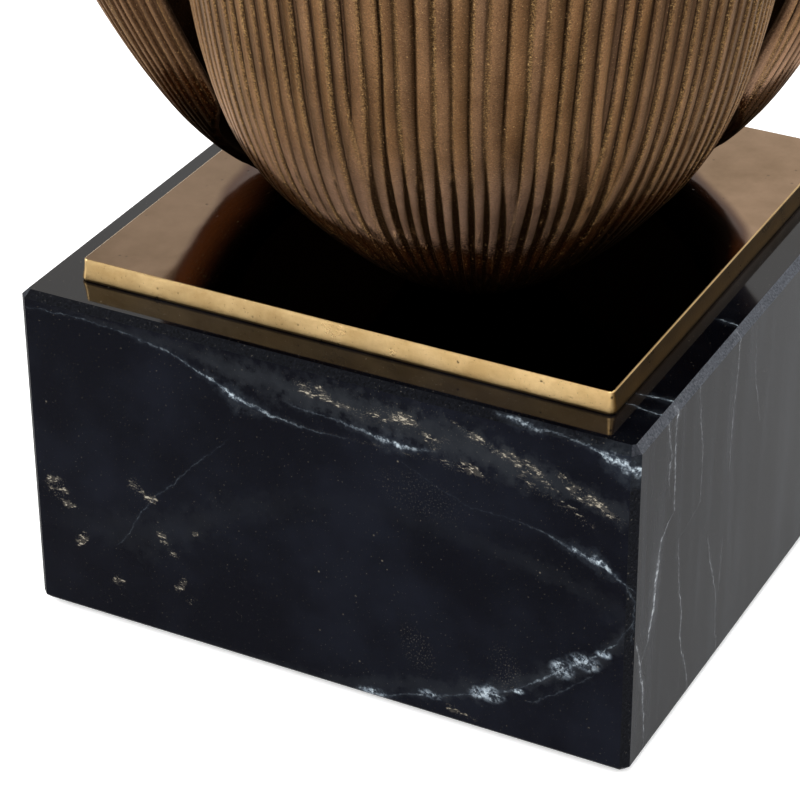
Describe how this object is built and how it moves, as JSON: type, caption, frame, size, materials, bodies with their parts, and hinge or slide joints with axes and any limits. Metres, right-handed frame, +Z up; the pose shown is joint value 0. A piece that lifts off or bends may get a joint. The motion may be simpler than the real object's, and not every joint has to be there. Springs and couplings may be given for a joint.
{
  "type": "table lamp",
  "caption": "Table lamp with a black marble block, a square brass plate, fluted bronze tulip petals round the stem, a turn switch and a tapered linen drum shade on a harp.",
  "frame": {"origin": "centre of the underside, on the surface the lamp stands on", "axes": "+Z up along the stem; -Y and +X are the two faces of the square block that the reference view shows"},
  "size_m": [0.4569, 0.457, 0.7299],
  "materials": {
    "felt": "matte felt",
    "black_marble": "polished, white and beige veins",
    "black_plastic": "matte",
    "satin_brass": "satin antique brass",
    "cast_bronze": "sand-cast, fluted, antique bronze",
    "zinc_steel": "zinc plated",
    "dark_steel": "blackened steel",
    "turned_brass": "satin antique brass",
    "harp_brass": "satin brass plate",
    "socket_brass": "spun brass",
    "liner_board": "pressed board",
    "phenolic": "moulded phenolic",
    "bare_aluminium": "rolled thread",
    "contact_brass": "sprung brass strip",
    "knob_plastic": "gloss moulded",
    "solder": "solder dome",
    "black_glass": "black vitrite glass",
    "bulb_cap_metal": "nickel plated, rolled thread",
    "opal_glass": "opal white glass",
    "shade_linen": "slub linen",
    "shade_card": "smooth white backing",
    "shade_tape": "folded linen tape",
    "frame_wire": "white lacquered steel wire"
  },
  "bodies": {
    "root": {"felt_pad": "felt", "marble_base": "black_marble", "cable_bushing": "black_plastic", "brass_plate": "satin_brass", "petal_front": "cast_bronze", "petal_right": "cast_bronze", "petal_left": "cast_bronze", "petal_clamp": "dark_steel", "petal_screws": "zinc_steel", "lower_washer": "zinc_steel", "lock_washer": "zinc_steel", "lower_nut": "zinc_steel", "upper_washer": "zinc_steel", "upper_nut": "zinc_steel", "threaded_tube": "zinc_steel", "stem_sleeve": "turned_brass", "neck_collar": "turned_brass", "harp_saddle": "harp_brass", "socket_cap": "socket_brass", "socket_shell": "socket_brass", "socket_liner": "liner_board", "socket_core": "phenolic", "screw_shell": "bare_aluminium", "centre_contact": "contact_brass", "terminal_screws": "zinc_steel"},
    "switch": {"switch_spindle": "zinc_steel", "switch_knob": "knob_plastic"},
    "bulb": {"bulb_contact": "solder", "bulb_insulator": "black_glass", "bulb_cap": "bulb_cap_metal", "bulb_globe": "opal_glass"},
    "harp": {"harp_wire": "harp_brass", "harp_ferrules": "harp_brass", "harp_stud": "harp_brass"},
    "shade": {"shade_cloth": "shade_linen", "shade_liner": "shade_card", "shade_foot_trim": "shade_tape", "shade_head_trim": "shade_tape", "shade_foot_ring": "frame_wire", "shade_head_ring": "frame_wire", "shade_spider": "frame_wire"},
    "finial": {"finial": "turned_brass"}
  },
  "joints": [
    {"name": "switch_turn", "type": "hinge", "parent": "root", "child": "switch", "pos_m": [0, 0, 0.478], "axis": [0, -1, 0], "continuous": true},
    {"name": "bulb_turn", "type": "hinge", "parent": "root", "child": "bulb", "pos_m": [0, 0, 0.5], "axis": [0, 0, 1], "range_deg": [0, 1080]},
    {"name": "harp_lift", "type": "slide", "parent": "root", "child": "harp", "axis": [0, 0, 1], "range_m": [0, 0.015]},
    {"name": "shade_turn", "type": "hinge", "parent": "harp", "child": "shade", "pos_m": [0, 0, 0.7], "axis": [0, 0, 1], "continuous": true},
    {"name": "finial_turn", "type": "hinge", "parent": "harp", "child": "finial", "pos_m": [0, 0, 0.71], "axis": [0, 0, 1], "continuous": true}
  ]
}
